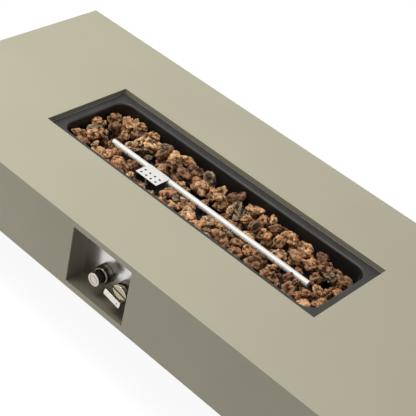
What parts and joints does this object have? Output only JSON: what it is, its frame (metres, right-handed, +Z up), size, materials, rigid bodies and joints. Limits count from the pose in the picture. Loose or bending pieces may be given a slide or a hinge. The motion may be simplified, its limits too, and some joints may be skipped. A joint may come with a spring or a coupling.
{
  "type": "fire pit table",
  "caption": "Low rectangular gas fire pit table with a sunken burner tray of lava rocks and gas controls in a niche in its front.",
  "frame": {"origin": "on the floor, under the middle of the table", "axes": "+X along the table towards its right end as seen from the controls, +Y towards the back, +Z up"},
  "size_m": [1.8, 0.8, 0.43],
  "materials": {
    "body_coat": "fine matt powder coat on sheet, warm stone grey",
    "niche_coat": "fine matt powder coat on sheet, warm stone grey",
    "leg_coat": "fine matt powder coat on sheet, warm stone grey",
    "galvanised_sheet": "matt dark grey coat",
    "frame_aluminium": "mill finish",
    "zinc_fixings": "bright zinc",
    "tray_enamel": "black heat proof coat, low sheen",
    "burner_steel": "satin stainless",
    "hood_steel": "satin stainless",
    "electrode_ceramic": "white fired ceramic",
    "lava": "rough porous lava, rust brown",
    "plate_steel": "brushed stainless",
    "bezel_chrome": "dark chrome plate",
    "knob_chrome": "bright chrome plate",
    "cap_metal": "satin silver",
    "igniter_plastic": "black moulded plastic",
    "battery_case": "plain printed sleeve",
    "valve_brass": "machined brass",
    "spindle_steel": "turned steel",
    "knob_metal": "satin silver",
    "gas_pipe": "drawn copper alloy tube",
    "pilot_pipe": "soft drawn tube",
    "lead_rubber": "silicone sleeve",
    "foot_plastic": "black moulded nylon"
  },
  "bodies": {
    "root": {"top_panel": "body_coat", "front_panel": "body_coat", "back_panel": "body_coat", "left_end_panel": "body_coat", "right_end_panel": "body_coat", "niche_liner": "niche_coat", "leg_left": "leg_coat", "leg_right": "leg_coat", "bottom_cover": "galvanised_sheet", "service_hatch": "galvanised_sheet", "corner_posts": "frame_aluminium", "top_frame": "frame_aluminium", "tray_ledges": "frame_aluminium", "leg_rails": "frame_aluminium", "panel_screws": "zinc_fixings", "leg_bolts": "zinc_fixings", "leg_rivet_nuts": "zinc_fixings", "foot_bushes": "zinc_fixings", "foot_lock_nuts": "zinc_fixings", "igniter_nut": "zinc_fixings", "valve_nut": "zinc_fixings", "burner_tray": "tray_enamel", "burner_tube": "burner_steel", "burner_end_plugs": "burner_steel", "burner_saddles": "burner_steel", "mixer_tube": "burner_steel", "mixer_lock_nut": "burner_steel", "pilot_bracket": "burner_steel", "pilot_burner": "burner_steel", "thermocouple": "burner_steel", "pilot_hood": "hood_steel", "ignition_electrode": "electrode_ceramic", "lava_rocks": "lava", "control_plate": "plate_steel", "igniter_bezel": "bezel_chrome", "valve_bezel": "bezel_chrome", "igniter_barrel": "igniter_plastic", "gas_valve_body": "valve_brass", "magnet_unit": "valve_brass", "injector": "valve_brass", "inlet_bulkhead": "valve_brass", "inlet_nut": "valve_brass", "main_gas_pipe": "gas_pipe", "inlet_pipe": "gas_pipe", "thermocouple_lead": "gas_pipe", "pilot_pipe": "pilot_pipe", "ignition_lead": "lead_rubber"},
    "tap_plug": {"valve_plug": "valve_brass"},
    "knob": {"valve_spindle": "spindle_steel", "knob_skirt": "knob_chrome", "knob_grip": "knob_chrome", "knob_face": "knob_metal"},
    "igniter_button": {"igniter_plunger": "igniter_plastic", "igniter_cap": "cap_metal", "igniter_battery": "battery_case"},
    "foot_front_left": {"foot_front_left": "foot_plastic"},
    "foot_front_right": {"foot_front_right": "foot_plastic"},
    "foot_back_left": {"foot_back_left": "foot_plastic"},
    "foot_back_right": {"foot_back_right": "foot_plastic"}
  },
  "joints": [
    {"name": "tap_turn", "type": "hinge", "parent": "root", "child": "tap_plug", "pos_m": [0.0555, -0.39, 0.283], "axis": [0, -1, 0], "range_deg": [0, 180]},
    {"name": "knob_push", "type": "slide", "parent": "tap_plug", "child": "knob", "axis": [0, 1, 0], "range_m": [0, 0.004], "stiffness_N_per_m": 1500, "springref_m": -0.002},
    {"name": "igniter_push", "type": "slide", "parent": "root", "child": "igniter_button", "axis": [0, 1, 0], "range_m": [0, 0.005], "stiffness_N_per_m": 1000, "springref_m": -0.003},
    {"name": "foot_front_left_level", "type": "slide", "parent": "root", "child": "foot_front_left", "axis": [0, 0, -1], "range_m": [0, 0.015]},
    {"name": "foot_front_right_level", "type": "slide", "parent": "root", "child": "foot_front_right", "axis": [0, 0, -1], "range_m": [0, 0.015]},
    {"name": "foot_back_left_level", "type": "slide", "parent": "root", "child": "foot_back_left", "axis": [0, 0, -1], "range_m": [0, 0.015]},
    {"name": "foot_back_right_level", "type": "slide", "parent": "root", "child": "foot_back_right", "axis": [0, 0, -1], "range_m": [0, 0.015]}
  ]
}
